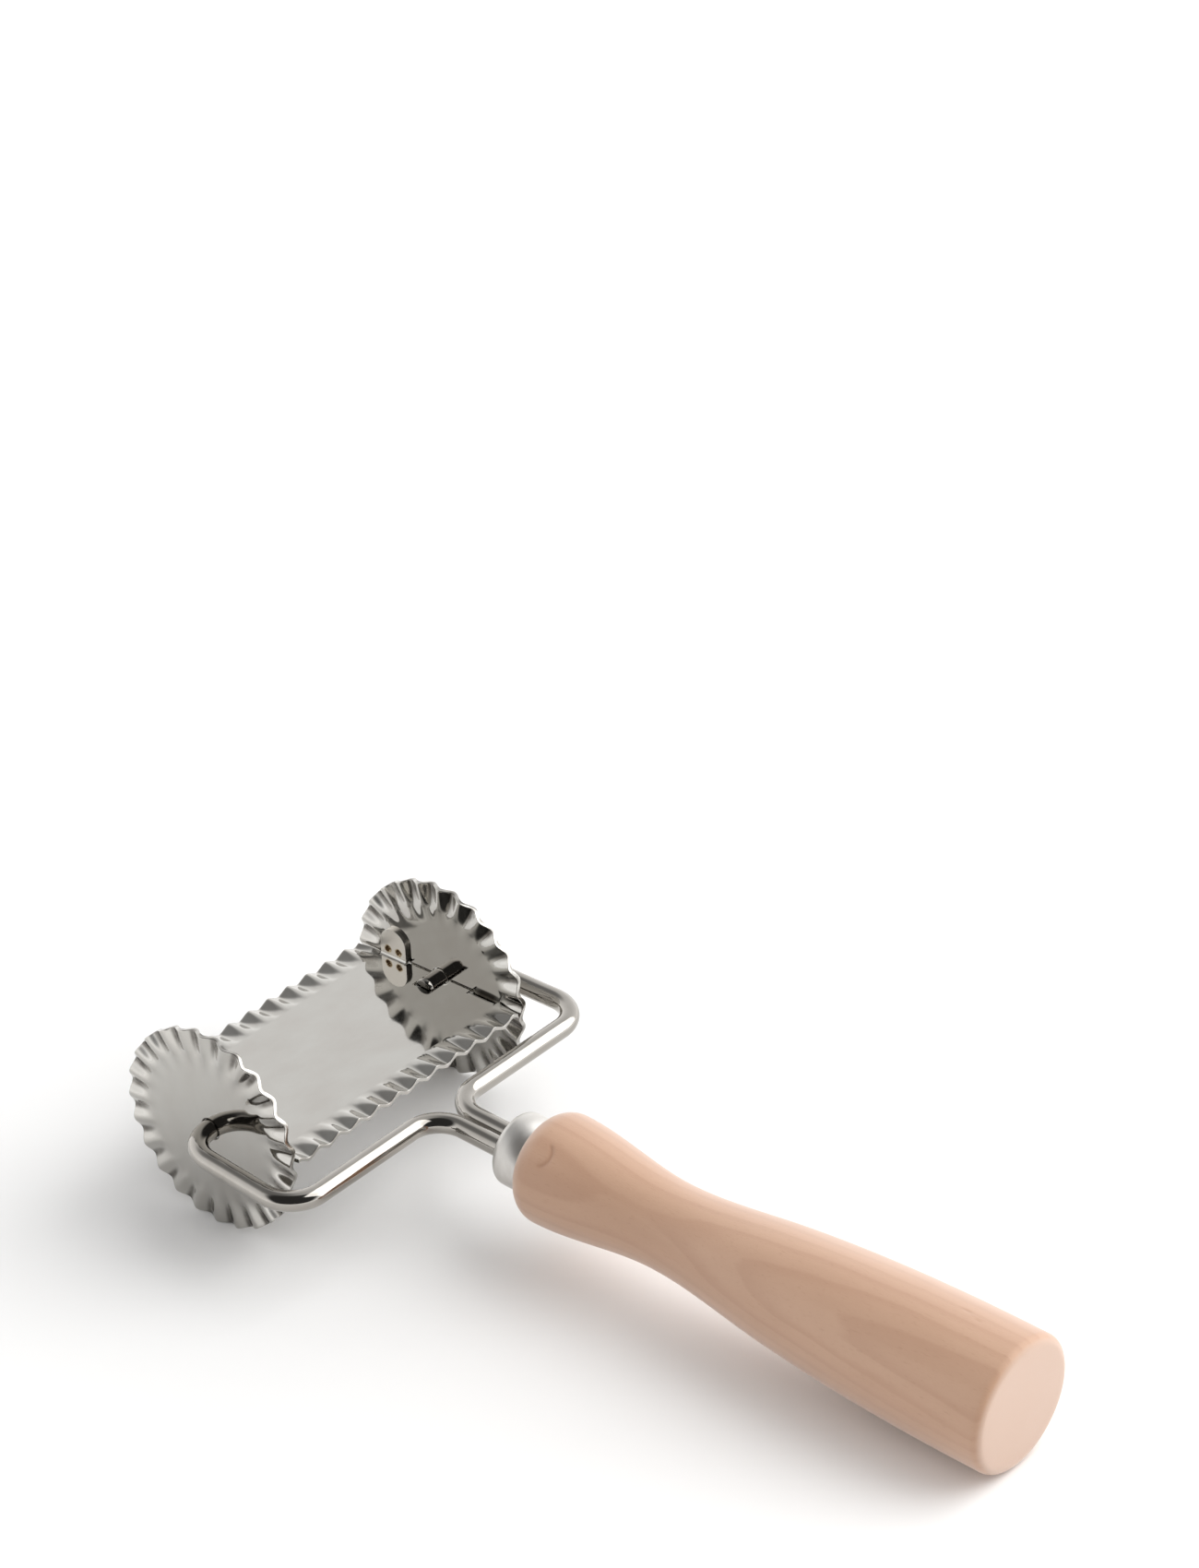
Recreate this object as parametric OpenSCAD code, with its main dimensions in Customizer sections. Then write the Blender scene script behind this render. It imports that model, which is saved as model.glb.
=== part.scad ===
// Rectangular pasta cutter: a fluted roller in a bent-wire fork with a turned handle.
// It lies as it rests on a table: both wheel rims and the butt's edge touch z = 0.
// X runs along the axle, the handle points to -Y and +Z is up.

/* [Wheels] */
// Diameter over the fluted rim
wheel_d = 51.4; // [47:0.2:56]
// Thickness of the wheel sheet
wheel_t = 1.2; // [0.8:0.1:1.6]
// Clear width between the two wheels
wheel_gap = 78.2; // [60:0.2:95]

/* [Flutes] */
// Number of flutes round a rim
flute_count = 24; // [16:2:30]
// Length of a flute, from the flat sheet to the cutting edge
flute_length = 6.8; // [5:0.1:8]
// Height of the wave at a wheel's rim, from crest to trough
rim_wave = 1.4; // [0.6:0.1:1.8]
// Height of the wave at the blade's edges, from crest to trough
blade_wave = 1.6; // [0.6:0.1:1.8]
// Turn of the left wheel's flutes from the blade's plane
left_phase = 14.5; // [0:0.1:15]
// Turn of the right wheel's flutes from the blade's plane
right_phase = 10.7; // [0:0.1:15]
// Sideways shift of the blade's flutes from its middle
blade_shift = -0.7; // [-3:0.1:3]

/* [Cross blade] */
// Thickness of the blade sheet
blade_t = 1; // [0.8:0.1:1.4]
// Gap between the blade's straight ends and the wheels
blade_gap = 0.25; // [0.1:0.05:0.5]
// Gap round the axle stub in the end notch
notch_gap = 0.5; // [0.3:0.1:1]
// Width of a welding tab
tab_w = 8; // [6:0.5:9]
// Height of a tab above the blade's middle plane
tab_h = 8.4; // [7.2:0.1:9.5]
// Distance of a tab's middle from the axle
tab_place = 14.2; // [12:0.1:15]
// Inside radius of a tab's bend
tab_bend = 0.8; // [0.5:0.1:1.2]
// Gap beside a tab
tab_slit = 0.4; // [0.2:0.1:0.8]
// Diameter of a spot weld's dimple
weld_d = 1.6; // [1:0.1:2.4]
// Depth of a spot weld's dimple
weld_depth = 0.15; // [0.05:0.05:0.3]
// Distance between the two spot welds of a tab
weld_pitch = 3.4; // [3:0.1:4.4]
// Height of the spot welds above the blade's middle plane
weld_height = 2.6; // [2.4:0.1:4]

/* [Wire fork] */
// Diameter of the wire
wire_d = 5; // [4:0.1:6]
// Radial clearance of the wire in a wheel's hole
hole_clearance = 0.08; // [0.02:0.01:0.1]
// Length of the stub past the wheel's inner face
stub_reach = 6.3; // [4:0.1:8]
// Chamfer at the wire's ends
wire_chamfer = 0.4; // [0.2:0.1:0.8]
// Straight stub between a wheel and the first bend
side_play = 0.5; // [0.3:0.1:1.5]
// Radius of every bend, to the wire's middle
bend_r = 8.5; // [6:0.5:10]
// How much thinner a bend leaves the wire
bend_thinning = 0.1; // [0.06:0.02:0.2]
// How much wider the fork is at its shoulder than at the axle, on each side
arm_splay = 1.9; // [0:0.1:3]
// Clear space between the rims and the shoulder
shoulder_gap = 7.4; // [5:0.1:12]
// Gap between the two tangs
tang_gap = 0.1; // [0.05:0.05:0.3]
// Length of the tangs inside the handle
tang_depth = 40; // [25:1:60]

/* [Ferrule] */
// Outside diameter of the ferrule
ferrule_d = 18.1; // [16.5:0.1:20]
// Length of the ferrule
ferrule_length = 7.9; // [6:0.1:12]
// Thickness of the ferrule sheet
ferrule_t = 0.8; // [0.5:0.1:1.2]
// Outside radius of the ferrule's front edge
ferrule_edge = 2; // [1.5:0.1:2.5]
// Distance from the shoulder's middle line to the ferrule
neck_length = 22; // [16:0.5:30]
// Clearance of the tangs in the ferrule and the handle
tang_clearance = 0.05; // [0.02:0.01:0.15]
// Clearance of the wooden spigot in the ferrule
spigot_clearance = 0.05; // [0.02:0.01:0.15]

/* [Handle] */
// Length of the handle behind the ferrule
handle_length = 135.9; // [115:0.1:155]
// Diameter of the bulb at the front
bulb_d = 27.1; // [25:0.1:30]
// Radius of the bulb's front shoulder
bulb_round = 6.2; // [5.4:0.1:7]
// Diameter of the waist
waist_d = 20.8; // [18:0.2:23]
// Distance of the waist from the front
waist_place = 38.5; // [30:0.5:45]
// Diameter where the palm sits
palm_d = 27.4; // [24:0.2:31]
// Distance of the palm's place from the front
palm_place = 70.5; // [60:0.5:80]
// Growth of the radius at the palm, per millimetre of length
palm_slope = 0.11; // [0.05:0.01:0.15]
// Diameter of the butt
butt_d = 33.2; // [31:0.2:36]
// Length of the straight part before the butt's face
butt_straight = 5.5; // [3:0.5:12]
// Radius of the butt's edge
butt_edge = 2.2; // [0.5:0.1:3]

/* [Hidden] */
$fn = 96;
wire_fn = 48;
steel = [0.78, 0.77, 0.76];
satin = [0.72, 0.73, 0.72];
beech = [0.80, 0.62, 0.48];
overlap = 1;           // how far a cutter runs past the face that it cuts
lap = 0.3;             // how far the full wire runs on into a bend
flute_rows = 4;        // strips from the flat sheet to the edge
samples_per_flute = 2 * flute_rows; // points along one wave, so that the folds follow the cells' diagonals
arc_steps = 8;         // straight pieces in a turned rounding
swell_steps = 12;      // straight pieces in one sweep of the handle

// Roller
wheel_r = wheel_d / 2;
flute_start = wheel_r - flute_length;
flute_pitch = PI * wheel_d / flute_count;
wheel_in = wheel_gap / 2;
wheel_out = wheel_in + wheel_t;
wheel_middle = wheel_in + wheel_t / 2;
hole_d = wire_d + 2 * hole_clearance;
stub_start = wheel_in - stub_reach;
tab_root = wheel_in - blade_t - tab_bend;

// Fork, in its own plane: x across, -y towards the handle
shoulder_y = wheel_r + shoulder_gap + wire_d / 2;
arm_lean = atan2(arm_splay, shoulder_y);
arm_length = norm([arm_splay, shoulder_y]);
axle_turn = 90 - arm_lean;
shoulder_turn = 90 + arm_lean;
arm_x = wheel_out + side_play + bend_r * tan(axle_turn / 2);
shoulder_x = arm_x + arm_splay;
tang_x = (wire_d + tang_gap) / 2;

// Stations along the handle's axis, from the axle
ferrule_front = shoulder_y + neck_length;
handle_front = ferrule_front + ferrule_length;
tang_end = handle_front + tang_depth;
butt_face = handle_front + handle_length;

// Radii and roundings round the handle's axis
ferrule_r = ferrule_d / 2;
ferrule_bore_r = ferrule_r - ferrule_t;
ferrule_inner_edge = max(0.2, ferrule_edge - ferrule_t);
spigot_r = ferrule_bore_r - spigot_clearance;
spigot_front = ferrule_front + ferrule_t + spigot_clearance;
bulb_core_r = bulb_d / 2 - bulb_round;
bulb_start = asin((ferrule_r - bulb_core_r) / bulb_round);
bulb_top = handle_front + bulb_round * cos(bulb_start);

// Rest: the fork tips until the wheels and the butt's edge touch the same plane
butt_core_r = butt_d / 2 - butt_edge;
butt_core_y = butt_face - butt_edge;
butt_angle = atan2(butt_core_r, butt_core_y);
rest_tilt = asin((wheel_r - butt_edge) / norm([butt_core_y, butt_core_r])) - butt_angle;
rear_reach = butt_core_y * cos(rest_tilt) + butt_core_r * sin(rest_tilt) + butt_edge;
axle_y = (rear_reach - wheel_r) / 2;
axle_z = wheel_r;

// Folded wave, 1 on a crest's edge and -1 on a trough's: t counts flutes from a crest, s is the
// share of a flute's length. Crests and troughs are wedges that grow towards the edge.
function fold(t, s) =
    let (from_crest = 2 * abs(t - round(t)), from_trough = 1 - from_crest)
    max(0, s - from_crest) - max(0, s - from_trough);

// Points of an arc from angle a to angle b
function arc(centre, r, a, b) =
    [for (i = [0:arc_steps]) let (t = a + (b - a) * i / arc_steps) centre + r * [cos(t), sin(t)]];

// Smooth sweep between two stations [place, radius, slope], without its first point
function swell(p, q) =
    [for (i = [1:swell_steps]) let (s = i / swell_steps, w = q[0] - p[0])
        [p[1] * (1 + 2 * s) * pow(1 - s, 2) + q[1] * s * s * (3 - 2 * s)
         + w * (p[2] * s * pow(1 - s, 2) - q[2] * s * s * (1 - s)), p[0] + s * w]];

// Two triangles for each cell between neighbouring closed rows of n points. A cell is parted along
// its rising diagonal, or along its falling one where a fold falls: falling[k][j] is true there.
function row_faces(rows, n, falling) =
    [for (k = [0:rows - 2], j = [0:n - 1])
        let (a = k * n + j, b = k * n + (j + 1) % n)
        each falling[k][j] ? [[a, b, a + n], [b, b + n, a + n]] : [[a, b, b + n], [a, b + n, a + n]]];

// Whether the fold in the cell after sample j of a flute and row k of its length falls towards the
// flat sheet, or rises from it
function fold_falls(j, k) = (j + k + 1) % flute_rows == 0;
function fold_rises(j, k) = (j - k) % flute_rows == 0;

module on_axle() {
    translate([0, axle_y, axle_z]) children();
}

module in_fork() {
    on_axle() rotate([rest_tilt, 0, 0]) children();
}

// Turns a profile of [radius, place] round the handle's axis
module turned(profile) {
    rotate([90, 0, 0]) rotate_extrude() polygon(profile);
}

// Slot that takes both tangs, from one station on the handle's axis to another
module tang_slot(from, to) {
    slot_d = wire_d + 2 * tang_clearance;
    translate([0, -from, 0]) rotate([90, 0, 0]) linear_extrude(to - from) {
        square([2 * tang_x, slot_d], center = true);
        for (side = [-1, 1])
            translate([side * tang_x, 0]) circle(d = slot_d);
    }
}

// Disc whose rim is pressed into waves along its axis, with its middle plane at z = 0
module fluted_disc(phase) {
    n = flute_count * samples_per_flute;
    rows = [for (k = [0:flute_rows]) k / flute_rows];
    function rim_point(s, j, side) =
        let (r = flute_start + s * flute_length, a = phase + 360 * j / n)
        [r * cos(a), r * sin(a),
         rim_wave / 2 * fold(j / samples_per_flute, s) + side * wheel_t / 2];
    upper = [for (k = [0:flute_rows], j = [0:n - 1]) rim_point(rows[k], j, 1)];
    lower = [for (k = [flute_rows:-1:0], j = [0:n - 1]) rim_point(rows[k], j, -1)];
    row_total = 2 * (flute_rows + 1);
    falling = [for (k = [0:row_total - 2]) [for (j = [0:n - 1])
        k < flute_rows ? fold_falls(j, k) : k > flute_rows ? fold_rises(j, row_total - 2 - k) : false]];
    polyhedron(
        points = concat(upper, lower),
        faces = concat([[for (j = [n - 1:-1:0]) j]],
                       [[for (j = [0:n - 1]) (row_total - 1) * n + j]],
                       row_faces(row_total, n, falling)));
}

module wheel(phase) {
    difference() {
        fluted_disc(phase);
        cylinder(d = hole_d, h = 2 * wheel_t + overlap, center = true);
    }
}

module left_wheel() {
    color(steel) on_axle() translate([-wheel_middle, 0, 0]) rotate([90, 0, -90]) wheel(-left_phase);
}

module right_wheel() {
    color(steel) on_axle() translate([wheel_middle, 0, 0]) rotate([90, 0, 90]) wheel(right_phase);
}

// Flat sheet with a wave along both long edges: a crest on one faces a trough on the other
module fluted_sheet() {
    step = flute_pitch / samples_per_flute;
    reach = wheel_in - blade_gap;
    inner_reach = reach - rim_wave / 2 - step / 2;
    first = ceil((-inner_reach - blade_shift) / step);
    last = floor((inner_reach - blade_shift) / step);
    stations = [-reach, for (i = [first:last]) blade_shift + i * step, reach];
    // Rows from the near edge to the far edge, as [side, share of a flute's length]
    rows = [for (k = [flute_rows:-1:0]) [-1, k / flute_rows], for (k = [0:flute_rows]) [1, k / flute_rows]];
    across = len(rows);
    function sheet_point(u, row, face) =
        let (side = row[0], s = row[1], limit = reach - rim_wave / 2 * s,
             x = max(-limit, min(limit, u)))
        [x, side * (flute_start + s * flute_length),
         side * blade_wave / 2 * fold((x - blade_shift) / flute_pitch, s) + face * blade_t / 2];
    points = [for (u = stations) each concat(
        [for (i = [0:across - 1]) sheet_point(u, rows[i], 1)],
        [for (i = [across - 1:-1:0]) sheet_point(u, rows[i], -1)])];
    n = 2 * across;
    // Whether the cell after station m and point i of a ring is parted along its falling diagonal
    function cell_falls(m, i) =
        i < flute_rows ? fold_rises(m, flute_rows - 1 - i)
        : i > flute_rows && i < across - 1 ? fold_falls(m, i - flute_rows - 1)
        : i > across - 1 && i < n - flute_rows - 2 ? fold_rises(m, n - flute_rows - 3 - i)
        : i > n - flute_rows - 2 && i < n - 1 ? fold_falls(m, i - n + flute_rows + 1) : false;
    falling = [for (k = [0:len(stations) - 2]) [for (i = [0:n - 1]) cell_falls(first - 1 + k, i)]];
    far_end = (len(stations) - 1) * n;
    end_faces = [for (i = [0:across - 2]) each [[i + 1, i, n - 1 - i], [i + 1, n - 1 - i, n - 2 - i]]];
    polyhedron(
        points = points,
        faces = concat(row_faces(len(stations), n, falling), end_faces,
                       [for (f = end_faces) [f[2] + far_end, f[1] + far_end, f[0] + far_end]]));
}

// Opening in the blade's right end for one tab and its bend
module tab_window() {
    window_w = tab_w + 2 * tab_slit;
    translate([tab_root, tab_place - window_w / 2, -blade_t])
        cube([wheel_in - tab_root, window_w, 2 * blade_t]);
}

// Tab bent up at the blade's right end, flat against the wheel, with two spot welds
module welding_tab() {
    flat_start = blade_t / 2 + tab_bend;
    round_z = tab_h - tab_w / 2;
    translate([0, tab_place, 0]) difference() {
        union() {
            translate([tab_root, tab_w / 2, flat_start]) rotate([90, 0, 0]) rotate([0, 0, -90])
                rotate_extrude(angle = 90, $fn = wire_fn) translate([tab_bend, 0]) square([blade_t, tab_w]);
            translate([wheel_in - blade_t, 0, 0]) rotate([90, 0, 90]) linear_extrude(blade_t) {
                translate([-tab_w / 2, flat_start]) square([tab_w, round_z - flat_start]);
                translate([0, round_z]) intersection() {
                    circle(d = tab_w);
                    translate([-tab_w / 2, 0]) square(tab_w);
                }
            }
        }
        for (side = [-1, 1])
            translate([wheel_in - blade_t - overlap, side * weld_pitch / 2, weld_height])
                rotate([0, 90, 0]) cylinder(d = weld_d, h = overlap + weld_depth, $fn = wire_fn);
    }
}

// Opening in the blade's right end for the axle stub
module stub_notch() {
    notch_w = wire_d + 2 * notch_gap;
    notch_bottom = stub_start - notch_gap;
    translate([notch_bottom, -notch_w / 2, -blade_t]) cube([wheel_in - notch_bottom, notch_w, 2 * blade_t]);
}

// Each end has one tab up and one down, and the two ends are alike when turned about Z
module cross_blade() {
    color(steel) on_axle() {
        difference() {
            fluted_sheet();
            for (end = [0, 180]) rotate([0, 0, end]) {
                stub_notch();
                tab_window();
                mirror([0, 1, 0]) tab_window();
            }
        }
        for (end = [0, 180], down = [0, 180]) rotate([0, 0, end]) rotate([down, 0, 0]) welding_tab();
    }
}

// Straight wire along +X, with what follows at its end
module straight(length) {
    translate([-lap, 0, 0]) rotate([0, 90, 0]) cylinder(d = wire_d, h = length + 2 * lap, $fn = wire_fn);
    translate([length, 0, 0]) children();
}

// Bend to the left by angle, or to the right when it is negative, with what follows at its end
module bend(angle) {
    side = sign(angle);
    translate([0, side * bend_r, 0]) {
        rotate([0, 0, side > 0 ? -90 : 90 + angle]) rotate_extrude(angle = abs(angle))
            translate([bend_r, 0]) circle(d = wire_d - bend_thinning, $fn = wire_fn);
        rotate([0, 0, angle]) translate([0, -side * bend_r, 0]) children();
    }
}

// Chamfered start of a wire that runs along +X, with what follows after it
module wire_tip() {
    rotate([0, 90, 0])
        cylinder(d1 = wire_d - 2 * wire_chamfer, d2 = wire_d, h = wire_chamfer, $fn = wire_fn);
    translate([wire_chamfer + lap, 0, 0]) children();
}

// Axle stub, arm, half of the shoulder and tang, all one wire
module right_half_fork() {
    axle_cut = bend_r * tan(axle_turn / 2);
    shoulder_cut = bend_r * tan(shoulder_turn / 2);
    tip = wire_chamfer + lap;
    stub = arm_x - axle_cut - stub_start - tip;
    arm = arm_length - axle_cut - shoulder_cut;
    shoulder = shoulder_x - shoulder_cut - tang_x - bend_r;
    tang = tang_end - shoulder_y - bend_r - tip;
    translate([stub_start, 0, 0])
        wire_tip() straight(stub) bend(-axle_turn)
        straight(arm) bend(-shoulder_turn)
        straight(shoulder) bend(90)
        straight(tang) translate([tip, 0, 0]) mirror([1, 0, 0]) wire_tip();
}

module left_wire() {
    color(steel) in_fork() mirror([1, 0, 0]) right_half_fork();
}

module right_wire() {
    color(steel) in_fork() right_half_fork();
}

// Drawn cup with a slot in its front for the tangs
module ferrule() {
    bottom = ferrule_front + ferrule_t;
    outside = concat([[0, ferrule_front]],
        arc([ferrule_r - ferrule_edge, ferrule_front + ferrule_edge], ferrule_edge, -90, 0));
    inside = arc([ferrule_bore_r - ferrule_inner_edge, bottom + ferrule_inner_edge], ferrule_inner_edge, 0, -90);
    color(satin) in_fork() difference() {
        turned(concat(outside, [[ferrule_r, handle_front], [ferrule_bore_r, handle_front]],
                      inside, [[0, bottom]]));
        tang_slot(ferrule_front - overlap, bottom + overlap);
    }
}

// Turned handle: spigot, bulb, waist, swell and butt, with a blind slot for the tangs
module handle() {
    bulb = [bulb_top, bulb_d / 2, 0];
    waist = [handle_front + waist_place, waist_d / 2, 0];
    palm = [handle_front + palm_place, palm_d / 2, palm_slope];
    butt = [butt_face - butt_straight, butt_d / 2, 0];
    spigot = [[0, spigot_front], [spigot_r - ferrule_edge, spigot_front],
              [spigot_r, spigot_front + ferrule_edge], [spigot_r, handle_front]];
    body = concat(arc([bulb_core_r, bulb_top], bulb_round, bulb_start - 90, 0),
        swell(bulb, waist), swell(waist, palm), swell(palm, butt),
        arc([butt_core_r, butt_core_y], butt_edge, 0, 90), [[0, butt_face]]);
    color(beech) in_fork() difference() {
        turned(concat(spigot, body));
        tang_slot(spigot_front - overlap, tang_end);
    }
}

left_wheel();
right_wheel();
cross_blade();
left_wire();
right_wire();
ferrule();
handle();
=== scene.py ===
import math

import bmesh
import bpy
import numpy as np
from mathutils import Matrix


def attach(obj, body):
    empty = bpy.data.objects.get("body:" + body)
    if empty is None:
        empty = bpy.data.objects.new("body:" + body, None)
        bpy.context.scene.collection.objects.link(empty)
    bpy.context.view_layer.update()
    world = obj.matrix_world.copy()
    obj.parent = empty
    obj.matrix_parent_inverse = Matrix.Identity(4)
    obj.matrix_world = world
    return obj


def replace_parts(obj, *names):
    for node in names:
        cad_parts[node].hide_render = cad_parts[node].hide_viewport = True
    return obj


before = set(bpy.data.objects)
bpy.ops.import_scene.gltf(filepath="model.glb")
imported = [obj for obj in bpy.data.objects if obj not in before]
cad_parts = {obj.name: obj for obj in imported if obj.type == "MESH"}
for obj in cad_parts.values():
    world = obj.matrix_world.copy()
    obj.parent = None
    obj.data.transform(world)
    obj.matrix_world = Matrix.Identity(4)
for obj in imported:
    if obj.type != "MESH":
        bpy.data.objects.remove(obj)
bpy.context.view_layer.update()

mm = 0.001  # the cutter's sizes are in millimetres
creaseAngle = 50  # degrees between two faces from which their edge stays a crease
mergeWithin = 0.0005  # points nearer than this become one

# how the cutter lies: both rims and the butt's edge touch the floor
pose = {
    "wheelR": 25.7,
    "shoulder": 35.6,  # from the axle to the fork's shoulder
    "ferruleFront": 57.6,  # stations along the handle's axis, from the axle
    "handleFront": 65.5,
    "tangEnd": 105.5,
    "buttFace": 201.4,
    "buttR": 16.6,
    "buttEdge": 2.2,
}


# the tilt brings the round of the butt's edge down to the plane that the rims touch
def restPlace():
    coreR = pose["buttR"] - pose["buttEdge"]
    coreY = pose["buttFace"] - pose["buttEdge"]
    drop = (pose["wheelR"] - pose["buttEdge"]) / math.hypot(coreY, coreR)
    tilt = math.asin(drop) - math.atan2(coreR, coreY)
    reach = coreY * math.cos(tilt) + coreR * math.sin(tilt) + pose["buttEdge"]
    return tilt, np.array([0, (reach - pose["wheelR"]) / 2, pose["wheelR"]])


tilt, axle = restPlace()


# points of the fork's frame (x across, y away from the handle, z up) brought to the floor's
def inFork(points):
    y, z = points[..., 1], points[..., 2]
    turned = np.stack([points[..., 0],
                       y * math.cos(tilt) - z * math.sin(tilt),
                       y * math.sin(tilt) + z * math.cos(tilt)], axis=-1)
    return turned + axle


# 0 below low, 1 above high, and a smooth S between them
def smoothStep(value, low, high):
    t = np.clip((value - low) / (high - low), 0, 1)
    return t * t * (3 - 2 * t)


# points of an arc about a centre, from one angle to another in degrees, equally far apart
def arc(centre, radius, start, end, count):
    t = np.radians(np.linspace(start, end, count))
    return np.stack([centre[0] + radius * np.cos(t), centre[1] + radius * np.sin(t)], axis=-1)


# a new object in the scene, at the origin
def addObject(name, data):
    made = bpy.data.objects.new(name, data)
    bpy.context.scene.collection.objects.link(made)
    return made


# Puts points and quads into a mesh: merges what coincides, so that poles and seams close,
# turns the faces outwards, and leaves a crease only where two faces meet steeply.
def solidPiece(name, points, quads, uv=None):
    mesh = bpy.data.meshes.new(name)
    mesh.from_pydata((points * mm).tolist(), [], quads.tolist())
    if uv is not None:
        layer = mesh.uv_layers.new(name="along")
        layer.data.foreach_set("uv", uv.astype(np.float32).ravel())
    work = bmesh.new()
    work.from_mesh(mesh)
    bmesh.ops.remove_doubles(work, verts=work.verts, dist=mergeWithin * mm)
    bmesh.ops.recalc_face_normals(work, faces=work.faces)
    work.to_mesh(mesh)
    work.free()
    mesh.shade_smooth()
    mesh.set_sharp_from_angle(angle=math.radians(creaseAngle))
    piece = addObject(name, mesh)
    print(name, len(mesh.polygons), "faces")
    return piece


# what the four corners of each cell hold, from what each point of a grid holds
def cellCorners(grid):
    return np.stack([grid[:-1, :-1], grid[:-1, 1:], grid[1:, 1:], grid[1:, :-1]], axis=2)


# Quads between the neighbours of a grid of points. Columns always close into a ring,
# rows only when wrapRows says so. uvRows and uvColumns give the pattern's place on each line.
def ringSurface(name, grid, wrapRows=False, uvRows=None, uvColumns=None):
    rows, columns = grid.shape[:2]
    index = np.arange(rows * columns).reshape(rows, columns)
    index = np.hstack([index, index[:, :1]])
    if wrapRows:
        index = np.vstack([index, index[:1]])
    uv = None
    if uvRows is not None:
        uv = cellCorners(np.stack(np.meshgrid(uvRows, uvColumns, indexing="ij"), axis=-1))
    return solidPiece(name, grid.reshape(-1, 3), cellCorners(index).reshape(-1, 4), uv)


# where a piece's points are, in millimetres from the axle's middle
def pointPlaces(piece):
    place = np.zeros(len(piece.data.vertices) * 3, np.float32)
    piece.data.vertices.foreach_get("co", place)
    return place.reshape(-1, 3) / mm - axle


# one number for each point, which the material reads by the layer's name
def storeLayer(piece, layer, value):
    attribute = piece.data.attributes.new(layer, "FLOAT", "POINT")
    attribute.data.foreach_set("value", value.astype(np.float32))


# shader nodes, one call each: values and links go in by the socket's name or number
def addNode(tree, kind, inputs=None, **settings):
    made = tree.nodes.new("ShaderNode" + kind)
    for key, value in settings.items():
        setattr(made, key, value)
    for key, value in (inputs or {}).items():
        if isinstance(value, bpy.types.NodeSocket):
            tree.links.new(value, made.inputs[key])
        else:
            made.inputs[key].default_value = value
    return made


# a material with one Principled shader, whose sockets get plain values
def newMaterial(name, sockets):
    material = bpy.data.materials.new(name)
    material.use_nodes = True
    shader = material.node_tree.nodes["Principled BSDF"]
    for key, value in sockets.items():
        shader.inputs[key].default_value = value
    return material, material.node_tree, shader


# the shaded point's place, in metres from the object's origin
def objectPlace(tree):
    return addNode(tree, "TexCoord").outputs["Object"]


# the number that storeLayer kept on the points
def layerValue(tree, layer):
    return addNode(tree, "Attribute", attribute_name=layer).outputs["Fac"]


# one step of arithmetic on a value, with a second value where the step takes one
def maths(tree, operation, a, b=0.0):
    return addNode(tree, "Math", {0: a, 1: b}, operation=operation).outputs[0]


# one number made of one or two vectors
def vectorMaths(tree, operation, a, b=(0, 0, 0)):
    return addNode(tree, "VectorMath", {0: a, 1: b}, operation=operation).outputs["Value"]


# places as read in a frame that is moved, turned and scaled
def inFrame(tree, vector, place=(0, 0, 0), turn=(0, 0, 0), scale=(1, 1, 1)):
    return addNode(tree, "Mapping", {
        "Vector": vector, "Location": place, "Rotation": turn, "Scale": scale},
        vector_type="TEXTURE").outputs["Vector"]


# a noise stretched along the axes: size is the grain's length in mm on each axis
def grain(tree, coordinate, size, detail=2, turn=(0, 0, 0), place=(0, 0, 0), output="Fac"):
    stretched = inFrame(tree, coordinate, place, turn, [s * mm for s in size])
    return addNode(tree, "TexNoise", {
        "Vector": stretched, "Scale": 1.0, "Detail": detail, "Roughness": 0.55}).outputs[output]


# a value's span brought onto another span and held at both ends, evenly or along a smooth S
def remap(tree, value, fromLow, fromHigh, toLow, toHigh, smooth=False):
    return addNode(tree, "MapRange", {
        "Value": value, "From Min": fromLow, "From Max": fromHigh,
        "To Min": toLow, "To Max": toHigh},
        interpolation_type="SMOOTHSTEP" if smooth else "LINEAR").outputs["Result"]


# two colours mixed by a share: each colour is a link or three plain numbers
def mixColour(tree, share, a, b):
    a, b = [c if isinstance(c, bpy.types.NodeSocket) else (*c, 1) for c in (a, b)]
    return addNode(tree, "Mix", {0: share, 6: a, 7: b}, data_type="RGBA").outputs[2]


# colour and roughness, each from a link
def linkLook(tree, shader, colour, rough):
    tree.links.new(colour, shader.inputs["Base Color"])
    tree.links.new(rough, shader.inputs["Roughness"])


# a bump laid over the one under it: depth is the pattern's height in mm
def addBump(tree, shader, height, depth, strength=1.0, under=None):
    bump = addNode(tree, "Bump", {
        "Height": height, "Distance": depth * mm, "Strength": strength})
    if under is not None:
        tree.links.new(under, bump.inputs["Normal"])
    tree.links.new(bump.outputs["Normal"], shader.inputs["Normal"])
    return bump.outputs["Normal"]


# the part of a noise's range, from 0 to 1, that each kind of pattern uses
cloudPart = (0.35, 0.70)
glossPart = (0.30, 0.75)
slowPart = (0.30, 0.70)


# a steel's colour, which drifts to a duller one in slow clouds
def cloudyColour(tree, here, steel, turn=(0, 0, 0)):
    cloud = grain(tree, here, steel["dullSize"], detail=3, turn=turn)
    cloud = remap(tree, cloud, *cloudPart, 0, 1)
    return mixColour(tree, cloud, steel["colour"], steel["dull"])


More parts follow.
